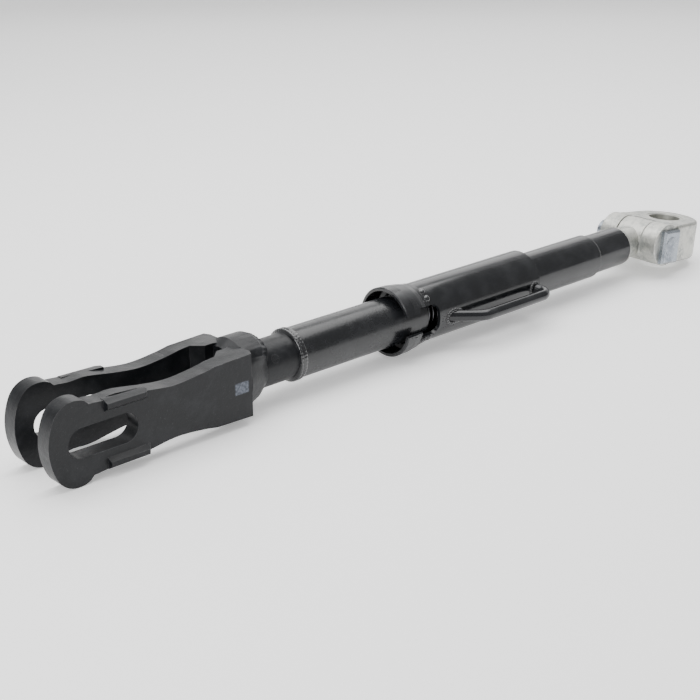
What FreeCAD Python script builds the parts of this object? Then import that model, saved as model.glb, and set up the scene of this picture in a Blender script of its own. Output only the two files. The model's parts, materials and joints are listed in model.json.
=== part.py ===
import FreeCAD, Part
import math
import os

# Adjustable lift link for a tractor's three-point hitch, in millimetres.
# It is drawn in link coordinates: X runs along the link from the fork to the yoke with zero at the fork's
# saddle, Y runs across it and Z is up. The last section moves every piece so that the origin is the centre
# of the yoke's eye, which is where the link is pinned to the lift arm.

V = FreeCAD.Vector
ALONG = V(1, 0, 0)
ACROSS = V(0, 1, 0)
UP = V(0, 0, 1)
HALF_TURN = 180.0
FULL_TURN = 360.0

# ---------------------------------------------------------------- fits and general clearances
RUNNING_CLEARANCE = 0.05      # radial, a shaft turning or sliding in its bush
LOOSE_CLEARANCE = 0.3         # between faces of bodies that move past each other
SEAT_CLEARANCE = 0.0          # pressed, screwed or welded seats are drawn face to face

# ---------------------------------------------------------------- fork forging
ear_gap = 36.9                # between the two ears
ear_thickness = 16.75
nose_x = -47.5                # front of the blunt nose
nose_radius = 60.0
head_half_height = 38.5
head_corner_radius = 22.0
head_arc_past_top = 35.0      # degrees that the head's corner arc runs on behind its top
saddle_x = 4.0
saddle_half_height = 30.4
ledge_x = 21.0                # gentle swelling of the outline beside the stop ledges
ledge_half_height = 31.0
waist_front_x = 50.0
waist_front_half_height = 26.7
waist_x = 75.0                # slimmest place of the ears
waist_half_height = 24.2
waist_rear_x = 105.0
waist_rear_half_height = 26.9
block_front_x = 132.0         # where the outline becomes the straight block
block_half_height = 30.2
block_side_length = 28.4      # straight block, to the edge of its rear chamfers
block_chamfer = 6.2           # across, at the block's two rear corners
block_chamfer_length = 3.1    # along
ear_edge_radius = 3.2         # forged round along the outer edges
ear_inner_edge_radius = 1.2
block_rear_edge_radius = 1.5

float_pin_diameter = 25.4     # pin that runs in the float slot
slot_side_clearance = 0.85
slot_front_x = -16.0          # axis of the pin at the front end of the slot
slot_travel = 41.0            # how far the pin can float

gap_shoulder_length = 10.0    # 45 degree shoulders at the root of the gap
gap_pocket_width = 18.0
gap_pocket_length = 8.0       # straight part behind the shoulders, then a round end

ledge_front_x = 6.5           # stop ledges on the ears' outer faces
ledge_length = 42.5
ledge_inner_z = 20.8
ledge_outer_z = 32.0
ledge_projection = 4.6
ledge_depth = 5.0             # how far the ledge runs in over the ear's edge
ledge_face_low_inset = 3.2
ledge_face_high_inset = 3.4
ledge_face_front_inset = 0.8
ledge_face_rear_inset = 3.4

boss_radius = 35.0            # round boss behind the block
boss_front_radius = 28.8
boss_front_setback = 12.0     # its front cone starts this far inside the block
boss_front_cone = 10.0
boss_length = 13.5            # cylinder behind the block
boss_cone_length = 11.5
shank_radius = 22.5
shank_length = 42.5           # parallel shank, to the weld
shank_bore_depth = 46.0       # for the spindle's spigot
fork_pin_set_in = 31.0        # cross pin's axis, from the end of the shank
fork_pin_angle = 27.0         # degrees above the near side

# ---------------------------------------------------------------- spindle and its guard tube
spindle_radius = 18.0
spindle_spigot_radius = 14.0
spindle_thread_pitch = 6.0
fork_pin_radius = 4.0
guard_tube_radius = 25.0
guard_tube_wall = 3.0
guard_tube_length = 155.0
weld_width = 9.0
weld_height = 2.6
tube_bush_radius = 24.2
tube_bush_seat = 14.0         # length inside the guard tube
tube_bush_nose = 10.0         # length that stands out of it
stop_washer_thickness = 5.0
stop_washer_clearance = 0.6   # radial, to the inside of the body tube
screw_radius = 6.0
screw_length = 26.0
screw_head_across_flats = 19.0
screw_head_height = 7.5

# ---------------------------------------------------------------- turning body
collar_radius = 35.9          # bell mouth
collar_wall = 3.5
collar_lip_radius = 1.0
collar_taper_end = 34.0
collar_bell_length = 24.0
collar_tail_length = 14.0
collar_tail_wall = 0.9        # feather edge of the fillet at the end of the tail
collar_shoulder = 2.3         # radial height of the concave fillet's start over the sleeve
sleeve_radius = 31.0
sleeve_wall = 3.5
sleeve_length = 180.0
sleeve_entry = 22.3           # from the collar's rim to the sleeve's front end
guard_show = 28.3             # how far inside the collar's rim the guard tube ends at rest
window_low_angle = -30.0      # deep part of the window, degrees above the near side
window_high_angle = 31.0
window_length = 48.3          # from the rim to its rounded end
window_corner_radius = 9.0
mouth_low_angle = -12.0       # mouth of the window at the rim
mouth_high_angle = 23.0
mouth_length = 20.5
sleeve_overlap = 52.0         # how far the body tube runs inside the sleeve
body_tube_radius = 25.0
body_tube_bore = 21.0
body_tube_length = 164.0
body_chamfer_length = 5.0
neck_radius = 22.5
neck_bore = 19.0
neck_length = 53.0
neck_end_thickness = 12.0
neck_bush_wall = 2.5
end_ring_length = 8.0
inner_ring_length = 12.0
nut_length = 40.0
nut_lock_radius = 3.0
nut_lock_set_in = 15.0

handle_bar_radius = 5.75
handle_angle = -5.0           # degrees above the near side
handle_front_x_offset = 41.0  # front foot, behind the front end of the sleeve
handle_span = 140.0           # front foot to the outside of the rear bend
handle_grip_radius = 48.0     # grip's axis, from the link's axis
handle_ramp = 34.0            # length of the sloping front leg
handle_front_bend = 26.0
handle_rear_bend = 10.0
handle_rear_lean = 3.0
handle_weld_height = 5.0
handle_weld_spread = 3.6
collar_weld_angles = (45.0, 62.0, -38.0)
collar_weld_radius = 3.6
collar_weld_flatness = 0.55

# ---------------------------------------------------------------- knuckle at the swivelling end
knuckle_reach = 47.0          # end of the neck to the hinge pin
tongue_radius = 24.2
tongue_side_clearance = 0.5
flange_radius = 21.5
flange_length = 6.0
flange_edge = 1.5
knuckle_waist_radius = 17.5
knuckle_shaft_radius = 14.0
knuckle_thread_end = 4.5      # shaft standing past the castle nut
thrust_washer_thickness = 3.0
thrust_washer_wall = 4.2
castle_nut_across_flats = 31.0
castle_nut_height = 20.0
castle_slot_depth = 6.0
castle_slot_width = 4.6
cotter_radius = 2.0
tongue_bush_wall = 2.5

# ---------------------------------------------------------------- yoke
yoke_droop = 6.5              # degrees that the yoke hangs below the link's axis at rest
yoke_gap = 38.0
yoke_ear_thickness = 21.1
yoke_ear_radius = 24.5
yoke_root_clearance = 1.6     # tongue to the root of the gap
yoke_half_height = 22.5
yoke_shoulder_x = 16.0        # step behind the pin's head
yoke_shoulder_half_width = 42.6
yoke_eye_x = 46.5
yoke_tail_radius = 39.5
yoke_edge_radius = 4.0
yoke_ear_edge_radius = 1.2
eye_bush_radius = 22.0
eye_bore_radius = 18.5
eye_bush_setback = 0.6        # below the yoke's faces
hinge_pin_radius = 12.5
pin_head_length = 30.0        # along the yoke
pin_head_height = 39.0
pin_head_thickness = 7.0
pin_head_drop = 1.0
pin_head_chamfer = 2.4
pin_head_face_radius = 14.2
pin_tail_length = 15.0        # past the far ear
pin_washer_edge_clearance = 0.5   # to the yoke's shoulder
pin_washer_thickness = 4.0
pin_cotter_radius = 2.4
pin_cotter_length = 34.0

# ---------------------------------------------------------------- places worked out from the sizes
fork_half_width = ear_gap / 2 + ear_thickness
block_edge_x = block_front_x + block_side_length
block_back_x = block_edge_x + block_chamfer_length
boss_end_x = block_back_x + boss_length
shank_start_x = boss_end_x + boss_cone_length
shank_end_x = shank_start_x + shank_length
guard_end_x = shank_end_x + guard_tube_length
rim_x = guard_end_x - guard_show
sleeve_start_x = rim_x + sleeve_entry
sleeve_end_x = sleeve_start_x + sleeve_length
body_start_x = sleeve_end_x - sleeve_overlap
body_shoulder_x = body_start_x + body_tube_length
neck_start_x = body_shoulder_x + body_chamfer_length
neck_end_x = neck_start_x + neck_length
neck_wall_x = neck_end_x - neck_end_thickness
hinge_x = neck_end_x + knuckle_reach
nut_end_x = body_start_x + nut_length
spindle_end_x = nut_end_x + spindle_thread_pitch + LOOSE_CLEARANCE
sleeve_bore = sleeve_radius - sleeve_wall


# ---------------------------------------------------------------- small drawing helpers
def disc_ring(x_start, x_end, outer, inner):
    """Tube or washer about the link's axis."""
    body = Part.makeCylinder(outer, x_end - x_start, V(x_start, 0, 0), ALONG)
    if inner > 0:
        body = body.cut(Part.makeCylinder(inner, x_end - x_start, V(x_start, 0, 0), ALONG))
    return body


def turned(profile):
    """Solid of revolution about the link's axis from (x, radius) corners."""
    corners = [V(x, 0, radius) for x, radius in profile]
    face = Part.Face(Part.makePolygon(corners + corners[:1]))
    return face.revolve(V(0, 0, 0), ALONG, FULL_TURN)


def cross_cylinder(x, z, radius, half_width):
    """Cylinder across the link, centred on y = 0."""
    return Part.makeCylinder(radius, 2 * half_width, V(x, -half_width, z), ACROSS)


def block(x_range, y_range, z_range):
    """Rectangular block between three pairs of limits."""
    sizes = [high - low for low, high in (x_range, y_range, z_range)]
    return Part.makeBox(*sizes, V(x_range[0], y_range[0], z_range[0]))


def hex_prism(x_start, length, across_flats):
    """Hexagon about the link's axis."""
    corner = across_flats / math.sqrt(3)
    corners = []
    for index in range(6):
        angle = math.radians(60 * index)
        corners.append(V(x_start, corner * math.cos(angle), corner * math.sin(angle)))
    return Part.Face(Part.makePolygon(corners + corners[:1])).extrude(V(length, 0, 0))


def radial(angle):
    """Unit vector out of the link's axis, in degrees above the near side."""
    turn = math.radians(angle)
    return V(0, -math.cos(turn), math.sin(turn))


def edges_in_plane(shape, axis, level, keep):
    """Edges whose ends and middle lie at one level of an axis, and pass a further test."""
    chosen = []
    for edge in shape.Edges:
        middle = edge.valueAt((edge.FirstParameter + edge.LastParameter) / 2)
        points = [vertex.Point for vertex in edge.Vertexes] + [middle]
        flat = all(abs(point[axis] - level) < 0.01 for point in points)
        if flat and keep(middle):
            chosen.append(edge)
    return chosen


# ---------------------------------------------------------------- fork
def fork_outline():
    """Side outline of the fork, a blunt nose running into a waist and the block."""
    nose_centre_x = nose_x + nose_radius
    corner_z = head_half_height - head_corner_radius
    inner = nose_radius - head_corner_radius
    corner_x = nose_centre_x - math.sqrt(inner ** 2 - corner_z ** 2)
    tangent = math.atan2(corner_z, nose_centre_x - corner_x)
    arc_end = math.radians(90 - head_arc_past_top)

    def corner_point(angle, side):
        return V(corner_x + head_corner_radius * math.cos(angle), 0,
                 side * (corner_z + head_corner_radius * math.sin(angle)))

    def flank(side):
        """Corner arc and waist of one side, from the nose back to the block."""
        start = corner_point(math.pi - tangent, side)
        top = corner_point(math.pi / 2, side)
        end = corner_point(arc_end, side)
        arc = Part.Arc(start, top, end).toShape()
        stations = [(saddle_x, saddle_half_height), (ledge_x, ledge_half_height),
                    (waist_front_x, waist_front_half_height), (waist_x, waist_half_height),
                    (waist_rear_x, waist_rear_half_height), (block_front_x, block_half_height)]
        curve = Part.BSplineCurve()
        points = [end] + [V(x, 0, side * height) for x, height in stations]
        leaving = V(math.sin(arc_end), 0, -side * math.cos(arc_end))
        curve.interpolate(points, InitialTangent=leaving, FinalTangent=ALONG)
        straight = Part.makeLine(points[-1], V(block_back_x, 0, side * block_half_height))
        return [arc, curve.toShape(), straight]

    upper = flank(1)
    lower = flank(-1)
    back = Part.makeLine(V(block_back_x, 0, block_half_height), V(block_back_x, 0, -block_half_height))
    nose = Part.Arc(corner_point(math.pi - tangent, 1), V(nose_x, 0, 0),
                    corner_point(math.pi - tangent, -1)).toShape()
    return Part.Wire(Part.__sortEdges__([nose] + upper + lower + [back]))


def fork_gap():
    """Space between the ears, with sloping shoulders and a round-ended pocket at its root."""
    half = ear_gap / 2
    pocket = gap_pocket_width / 2
    shoulder_x = block_front_x
    pocket_x = shoulder_x + gap_shoulder_length
    end_x = pocket_x + gap_pocket_length
    front_x = nose_x - ear_gap
    low_z = -2 * head_half_height
    edges = [Part.makeLine(V(end_x, pocket, low_z), V(pocket_x, pocket, low_z)),
             Part.makeLine(V(pocket_x, pocket, low_z), V(shoulder_x, half, low_z)),
             Part.makeLine(V(shoulder_x, half, low_z), V(front_x, half, low_z)),
             Part.makeLine(V(front_x, half, low_z), V(front_x, -half, low_z)),
             Part.makeLine(V(front_x, -half, low_z), V(shoulder_x, -half, low_z)),
             Part.makeLine(V(shoulder_x, -half, low_z), V(pocket_x, -pocket, low_z)),
             Part.makeLine(V(pocket_x, -pocket, low_z), V(end_x, -pocket, low_z)),
             Part.Arc(V(end_x, -pocket, low_z), V(end_x + pocket, 0, low_z), V(end_x, pocket, low_z)).toShape()]
    return Part.Face(Part.Wire(edges)).extrude(V(0, 0, 4 * head_half_height))


def float_slot():
    """Long slot through both ears for the pin that floats."""
    radius = float_pin_diameter / 2 + slot_side_clearance
    reach = 2 * fork_half_width
    rear_x = slot_front_x + slot_travel
    middle = block((slot_front_x, rear_x), (-reach, reach), (-radius, radius))
    ends = [cross_cylinder(x, 0, radius, reach) for x in (slot_front_x, rear_x)]
    return middle.fuse(ends)


def stop_ledge(side, level):
    """Forged ledge on the outside of an ear, with sloping flanks."""
    root_y = side * (fork_half_width - ledge_depth)
    base_y = side * fork_half_width
    face_y = side * (fork_half_width + ledge_projection)
    rear_x = ledge_front_x + ledge_length

    def rectangle(y, x_low, x_high, z_low, z_high):
        corners = [V(x_low, y, level * z_low), V(x_high, y, level * z_low),
                   V(x_high, y, level * z_high), V(x_low, y, level * z_high)]
        return Part.makePolygon(corners + corners[:1])

    base = rectangle(base_y, ledge_front_x, rear_x, ledge_inner_z, ledge_outer_z)
    face = rectangle(face_y, ledge_front_x + ledge_face_front_inset, rear_x - ledge_face_rear_inset,
                     ledge_inner_z + ledge_face_low_inset, ledge_outer_z - ledge_face_high_inset)
    ledge = Part.makeLoft([base, face], True, True)
    root = Part.Face(base).extrude(V(0, root_y - base_y, 0))
    return ledge.fuse(root)


def make_fork():
    """Forked end with float slots, stop ledges, round boss and shank."""
    body = Part.Face(fork_outline()).extrude(V(0, 2 * fork_half_width, 0))
    body.translate(V(0, -fork_half_width, 0))
    plan = [V(nose_x * 2, -fork_half_width, 0), V(block_edge_x, -fork_half_width, 0),
            V(block_back_x, -fork_half_width + block_chamfer, 0),
            V(block_back_x, fork_half_width - block_chamfer, 0),
            V(block_edge_x, fork_half_width, 0), V(nose_x * 2, fork_half_width, 0)]
    envelope = Part.Face(Part.makePolygon(plan + plan[:1])).extrude(V(0, 0, 4 * head_half_height))
    envelope.translate(V(0, 0, -2 * head_half_height))
    body = body.common(envelope)
    body = body.cut(fork_gap())
    for side in (1, -1):
        for level in (1, -1):
            body = body.fuse(stop_ledge(side, level))
    cone_x = block_back_x - boss_front_setback
    bore_x = shank_end_x - shank_bore_depth
    boss = turned([(cone_x, 0), (cone_x, boss_front_radius), (cone_x + boss_front_cone, boss_radius),
                   (boss_end_x, boss_radius), (shank_start_x, shank_radius), (shank_end_x, shank_radius),
                   (shank_end_x, spindle_spigot_radius), (bore_x, spindle_spigot_radius), (bore_x, 0)])
    body = body.fuse(boss).cut(float_slot())
    return body.cut(fork_pin_solid()).removeSplitter()


def fork_pin_solid():
    """Cross pin that locks the spindle in the shank."""
    x = shank_end_x - fork_pin_set_in
    way = radial(fork_pin_angle)
    start = V(x, 0, 0) - way * shank_radius
    pin = Part.makeCylinder(fork_pin_radius, 2 * shank_radius, start, way)
    return pin.common(disc_ring(x - shank_radius, x + shank_radius, shank_radius, 0))


def make_spindle():
    """Screwed spindle, with a spigot in the fork's shank and a tapped end for the stop screw."""
    spigot_x = shank_end_x - shank_bore_depth
    body = turned([(spigot_x, 0), (spigot_x, spindle_spigot_radius), (shank_end_x, spindle_spigot_radius),
                   (shank_end_x, spindle_radius), (spindle_end_x, spindle_radius), (spindle_end_x, 0)])
    tapped = disc_ring(spindle_end_x - screw_length, spindle_end_x, screw_radius, 0)
    return body.cut(fork_pin_solid()).cut(tapped)


def make_stop_screw():
    """Hexagon screw that holds the stop washer on the spindle's end."""
    head_x = spindle_end_x + stop_washer_thickness
    shaft = disc_ring(spindle_end_x - screw_length, head_x, screw_radius, 0)
    return shaft.fuse(hex_prism(head_x, screw_head_height, screw_head_across_flats))


def make_tube_weld():
    """Ring of weld between the fork's shank and the guard tube."""
    half = weld_width / 2
    crown = guard_tube_radius + weld_height * 0.5
    ring = turned([(shank_end_x - half, shank_radius), (shank_end_x - half * 0.5, crown),
                   (shank_end_x + half * 0.4, crown), (shank_end_x + half, guard_tube_radius),
                   (shank_end_x, guard_tube_radius), (shank_end_x, shank_radius)])
    return ring


# ---------------------------------------------------------------- turning body
def window_cutter():
    """Sight window through the near side of the collar and sleeve, open at the rim."""
    def sector(low, high, x_start, x_end):
        face = Part.Face(Part.makePolygon([V(x_start, 0, 0), V(x_end, 0, 0),
                                           V(x_end, -2 * collar_radius, 0),
                                           V(x_start, -2 * collar_radius, 0), V(x_start, 0, 0)]))
        face.rotate(V(0, 0, 0), ALONG, -low)
        return face.revolve(V(0, 0, 0), ALONG, -(high - low))

    mouth = sector(mouth_low_angle, mouth_high_angle, rim_x - collar_wall, rim_x + mouth_length + collar_wall)
    deep = sector(window_low_angle, window_high_angle, rim_x + mouth_length, rim_x + window_length)
    end_edges = [edge for edge in deep.Edges
                 if all(abs(vertex.X - rim_x - window_length) < 0.01 for vertex in edge.Vertexes)
                 and edge.Length > collar_radius]
    return mouth, deep, end_edges


def deep_window():
    """Deep part of the window, a curved slot with round corners at its far end."""
    mouth, deep, _ = window_cutter()
    corner_edges = []
    for edge in deep.Edges:
        ends = [vertex.Point for vertex in edge.Vertexes]
        if len(ends) == 2 and all(abs(end.x - rim_x - window_length) < 0.01 for end in ends):
            if abs(edge.Length - 2 * collar_radius) < 0.5:
                corner_edges.append(edge)
    rounded = deep.makeFillet(window_corner_radius, corner_edges) if corner_edges else deep
    return mouth.fuse(rounded)


def collar_profile():
    """Bell mouth with a lip, and a concave tail that runs down to the sleeve."""
    bell_x = rim_x + collar_bell_length
    end_x = sleeve_start_x + collar_tail_length
    mouth = collar_radius - collar_wall
    outer = [(rim_x, collar_radius - collar_lip_radius), (rim_x + collar_lip_radius, collar_radius),
             (rim_x + collar_bell_length / 2, collar_radius - 0.3), (bell_x, collar_taper_end),
             (bell_x + 3, sleeve_radius + collar_shoulder), (bell_x + 6, sleeve_radius + 1.6),
             (end_x, sleeve_radius + collar_tail_wall)]
    inner = [(end_x, sleeve_radius), (sleeve_start_x, sleeve_radius), (sleeve_start_x, sleeve_bore + 1),
             (sleeve_start_x - 2, mouth), (rim_x, mouth)]
    return outer + inner


def make_body_tube():
    """Tube that carries the spindle nut, turned down to the swivel's neck."""
    outer = body_tube_radius
    seat = knuckle_shaft_radius + RUNNING_CLEARANCE + neck_bush_wall
    body = turned([(body_start_x, body_tube_bore), (body_start_x, outer), (body_shoulder_x, outer),
                   (neck_start_x, neck_radius), (neck_end_x, neck_radius), (neck_end_x, seat),
                   (neck_wall_x, seat), (neck_wall_x, neck_bore), (body_shoulder_x, neck_bore),
                   (body_shoulder_x, body_tube_bore)])
    return body.cut(nut_lock_solid())


def nut_lock_solid():
    """Grub screw through the tube into the spindle nut."""
    x = body_start_x + nut_lock_set_in
    inner = spindle_radius + 1
    return Part.makeCylinder(nut_lock_radius, body_tube_radius - inner, V(x, 0, inner), UP).common(
        disc_ring(x - nut_lock_radius, x + nut_lock_radius, body_tube_radius, 0))


def make_spindle_nut():
    """Threaded insert in the front end of the body tube."""
    nut = disc_ring(body_start_x, nut_end_x, body_tube_bore, spindle_radius + RUNNING_CLEARANCE)
    return nut.cut(nut_lock_solid())


def handle_path():
    """Axis of the handle's bar in the plane y = 0, with height as distance from the link's axis."""
    foot_x = sleeve_start_x + handle_front_x_offset
    foot = V(foot_x, 0, sleeve_radius - handle_bar_radius)
    grip_front = V(foot_x + handle_ramp, 0, handle_grip_radius)
    corner = V(foot_x + handle_span - handle_bar_radius, 0, handle_grip_radius)
    rear_foot = V(corner.x - handle_rear_lean, 0, sleeve_radius - handle_bar_radius)
    return [foot, grip_front, corner, rear_foot], [handle_front_bend, handle_rear_bend]


def bent_wire(points, radii):
    """Wire of straight runs joined by tangent arcs."""
    edges = []
    start = points[0]
    for index, radius in enumerate(radii, 1):
        before = (points[index - 1] - points[index]).normalize()
        after = (points[index + 1] - points[index]).normalize()
        half = before.getAngle(after) / 2
        setback = radius / math.tan(half)
        enter = points[index] + before * setback
        leave = points[index] + after * setback
        bisector = (before + after).normalize()
        middle = points[index] + bisector * (radius / math.sin(half) - radius)
        edges.append(Part.makeLine(start, enter))
        edges.append(Part.Arc(enter, middle, leave).toShape())
        start = leave
    edges.append(Part.makeLine(start, points[-1]))
    return Part.Wire(edges)


def to_handle_side(shape):
    """Turn a shape from the top of the link to the side where the handle is."""
    placed = shape.copy()
    placed.rotate(V(0, 0, 0), ALONG, 90 - handle_angle)
    return placed


def handle_bar():
    """Bent bar before it is trimmed to the sleeve."""
    points, radii = handle_path()
    wire = bent_wire(points, radii)
    way = points[1] - points[0]
    profile = Part.Wire(Part.Circle(points[0], way, handle_bar_radius).toShape())
    return wire.makePipeShell([profile], True, False)


def make_handle():
    """Bent round bar that turns the body, its feet coped to the sleeve."""
    sleeve = disc_ring(rim_x, body_shoulder_x, sleeve_radius, 0)
    return to_handle_side(handle_bar()).cut(sleeve)


def make_handle_weld(rear):
    """Fillet of weld around a foot of the handle."""
    points, _ = handle_path()
    foot, aim = (points[3], points[2]) if rear else (points[0], points[1])
    way = (aim - foot).normalize()
    spread = handle_bar_radius + handle_weld_spread
    surface = (sleeve_radius - foot.z) / way.z
    length = surface + handle_weld_height / way.z
    cone = Part.makeCone(spread + handle_weld_spread, handle_bar_radius, length, foot, way)
    weld = to_handle_side(cone)
    sleeve = disc_ring(rim_x, body_shoulder_x, sleeve_radius, 0)
    weld = weld.cut(sleeve).cut(make_handle())
    return max(weld.Solids, key=lambda solid: solid.Volume)


def make_collar_welds(collar, sleeve):
    """Spots of weld that tie the collar's tail to the sleeve."""
    end_x = sleeve_start_x + collar_tail_length
    spots = []
    for angle in collar_weld_angles:
        spot = Part.makeSphere(collar_weld_radius)
        squash = FreeCAD.Matrix()
        squash.scale(V(1, 1, collar_weld_flatness))
        spot = spot.transformGeometry(squash)
        spot.translate(V(end_x + 1, 0, sleeve_radius + 0.4))
        spot.rotate(V(0, 0, 0), ALONG, 90 - angle)
        spot = spot.cut(collar).cut(sleeve)
        spots.append(max(spot.Solids, key=lambda solid: solid.Volume))
    return Part.makeCompound(spots)


# ---------------------------------------------------------------- knuckle
def tongue_half_width():
    """Half the width of the knuckle's tongue, which fits between the yoke's ears."""
    return yoke_gap / 2 - tongue_side_clearance


def nut_seat_x():
    """Front face of the thrust washer, where the castle nut bears."""
    return neck_wall_x - LOOSE_CLEARANCE - thrust_washer_thickness


def shaft_end_x():
    """Inner end of the knuckle's shaft."""
    return nut_seat_x() - castle_nut_height - knuckle_thread_end


def make_knuckle():
    """Forged tongue with a flange against the neck and a shaft that swivels in it."""
    flange_x = neck_end_x + LOOSE_CLEARANCE
    shaft = turned([(shaft_end_x(), 0), (shaft_end_x(), knuckle_shaft_radius), (flange_x, knuckle_shaft_radius),
                    (flange_x, flange_radius - flange_edge), (flange_x + flange_edge, flange_radius),
                    (flange_x + flange_length - flange_edge, flange_radius),
                    (flange_x + flange_length, flange_radius - flange_edge),
                    (flange_x + flange_length + flange_edge, knuckle_waist_radius),
                    (hinge_x, knuckle_waist_radius), (hinge_x, 0)])
    half = tongue_half_width()
    barrel = cross_cylinder(hinge_x, 0, tongue_radius, half)
    rim = [edge for edge in barrel.Edges if abs(abs(edge.CenterOfMass.y) - half) < 0.01]
    barrel = barrel.makeChamfer(flange_edge, rim)
    width = block((flange_x, hinge_x + tongue_radius), (-half, half), (-tongue_radius, tongue_radius))
    neck = shaft.common(disc_ring(flange_x + flange_length + flange_edge, hinge_x, flange_radius, 0)).common(width)
    body = shaft.cut(block((flange_x + flange_length + flange_edge, hinge_x + tongue_radius),
                           (-flange_radius, flange_radius), (-flange_radius, flange_radius)))
    body = body.fuse(neck).fuse(barrel)
    bore = hinge_pin_radius + RUNNING_CLEARANCE + tongue_bush_wall
    return body.cut(cross_cylinder(hinge_x, 0, bore, tongue_radius)).cut(nut_cotter_solid()).removeSplitter()


def nut_cotter_solid():
    """Cotter through the slots of the castle nut and the knuckle's shaft."""
    x = shaft_end_x() + knuckle_thread_end + castle_slot_depth / 2
    half = castle_nut_across_flats / 2 - 1
    return Part.makeCylinder(cotter_radius, 2 * half, V(x, 0, -half), UP)


def make_castle_nut():
    """Slotted nut that holds the knuckle in the neck."""
    start_x = shaft_end_x() + knuckle_thread_end
    nut = hex_prism(start_x, castle_nut_height, castle_nut_across_flats)
    nut = nut.cut(disc_ring(start_x, start_x + castle_nut_height, knuckle_shaft_radius, 0))
    reach = castle_nut_across_flats
    slot = block((start_x - 1, start_x + castle_slot_depth), (-castle_slot_width / 2, castle_slot_width / 2),
                 (-reach, reach))
    for index in range(3):
        turned_slot = slot.copy()
        turned_slot.rotate(V(0, 0, 0), ALONG, 60 * index)
        nut = nut.cut(turned_slot)
    return nut


# ---------------------------------------------------------------- yoke, drawn about the hinge pin
def yoke_half_width():
    """Half the width over the yoke's ears."""
    return yoke_gap / 2 + yoke_ear_thickness


def make_yoke():
    """Cast yoke: two round ears, a stepped shoulder and a round tail with the eye."""
    ear_half = yoke_half_width()
    turn = math.atan2(yoke_shoulder_half_width, yoke_eye_x - yoke_shoulder_x)
    reach = math.hypot(yoke_shoulder_half_width, yoke_eye_x - yoke_shoulder_x)
    lean = math.pi - turn - math.acos(yoke_tail_radius / reach)
    touch = V(yoke_eye_x + yoke_tail_radius * math.cos(lean), yoke_tail_radius * math.sin(lean), 0)
    corner = V(yoke_shoulder_x, yoke_shoulder_half_width, 0)
    mirror = [V(touch.x, -touch.y, 0), V(corner.x, -corner.y, 0)]
    edges = [Part.makeLine(corner, touch),
             Part.Arc(touch, V(yoke_eye_x + yoke_tail_radius, 0, 0), mirror[0]).toShape(),
             Part.makeLine(mirror[0], mirror[1]), Part.makeLine(mirror[1], corner)]
    tail = Part.Face(Part.Wire(edges)).extrude(V(0, 0, 2 * yoke_half_height))
    tail.translate(V(0, 0, -yoke_half_height))
    rims = edges_in_plane(tail, 2, yoke_half_height, lambda point: point.x > yoke_shoulder_x + 1)
    rims += edges_in_plane(tail, 2, -yoke_half_height, lambda point: point.x > yoke_shoulder_x + 1)
    tail = tail.makeFillet(yoke_edge_radius, rims)
    ears = cross_cylinder(0, 0, yoke_ear_radius, ear_half)
    rims = [edge for edge in ears.Edges if abs(abs(edge.CenterOfMass.y) - ear_half) < 0.01]
    ears = ears.makeFillet(yoke_ear_edge_radius, rims)
    cheeks = block((0, yoke_shoulder_x + yoke_edge_radius), (-ear_half, ear_half),
                   (-yoke_half_height, yoke_half_height))
    body = tail.fuse([ears, cheeks])
    root_radius = tongue_radius + yoke_root_clearance
    gap = block((-2 * yoke_ear_radius, 0), (-yoke_gap / 2, yoke_gap / 2), (-2 * yoke_ear_radius, 2 * yoke_ear_radius))
    gap = gap.fuse(cross_cylinder(0, 0, root_radius, yoke_gap / 2))
    body = body.cut(gap).cut(cross_cylinder(0, 0, hinge_pin_radius, 2 * ear_half))
    eye = Part.makeCylinder(eye_bush_radius, 4 * yoke_half_height, V(yoke_eye_x, 0, -2 * yoke_half_height))
    return body.cut(eye).removeSplitter()


def make_eye_bush():
    """Hard bush in the yoke's eye."""
    half = yoke_half_height - eye_bush_setback
    outer = Part.makeCylinder(eye_bush_radius, 2 * half, V(yoke_eye_x, 0, -half))
    return outer.cut(Part.makeCylinder(eye_bore_radius, 2 * half, V(yoke_eye_x, 0, -half)))


def pin_cotter_y():
    """Distance of the split pin from the middle of the hinge pin."""
    return yoke_half_width() + pin_washer_thickness + LOOSE_CLEARANCE + pin_cotter_radius


def pin_cotter_solid():
    """Split pin behind the far washer, straight through the hinge pin."""
    return Part.makeCylinder(pin_cotter_radius, pin_cotter_length, V(0, pin_cotter_y(), -pin_cotter_length / 2), UP)


def make_hinge_pin():
    """Pin with a square head whose back edge lies against the yoke's shoulder."""
    face_y = -yoke_half_width()
    end_y = yoke_half_width() + pin_tail_length
    shaft = Part.makeCylinder(hinge_pin_radius, end_y - face_y, V(0, face_y, 0), ACROSS)
    rear_x = yoke_shoulder_x - LOOSE_CLEARANCE
    head = block((rear_x - pin_head_length, rear_x), (face_y - pin_head_thickness, face_y),
                 (-pin_head_height / 2 - pin_head_drop, pin_head_height / 2 - pin_head_drop))
    front = edges_in_plane(head, 1, face_y - pin_head_thickness, lambda point: True)
    head = head.makeChamfer(pin_head_chamfer, front)
    tip = [edge for edge in shaft.Edges if abs(edge.CenterOfMass.y - end_y) < 0.01]
    shaft = shaft.makeChamfer(pin_head_chamfer, tip)
    return shaft.fuse(head).cut(pin_cotter_solid()).removeSplitter()


def make_pin_washer():
    """Plain washer on the far side of the yoke."""
    start = V(0, yoke_half_width(), 0)
    outer = Part.makeCylinder(yoke_shoulder_x - pin_washer_edge_clearance, pin_washer_thickness, start, ACROSS)
    return outer.cut(Part.makeCylinder(hinge_pin_radius, pin_washer_thickness, start, ACROSS))


def make_tongue_bush():
    """Bush pressed in the knuckle's tongue, in which the hinge pin turns."""
    inner = hinge_pin_radius + RUNNING_CLEARANCE
    half = tongue_half_width()
    return cross_cylinder(hinge_x, 0, inner + tongue_bush_wall, half).cut(cross_cylinder(hinge_x, 0, inner, half))


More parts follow.
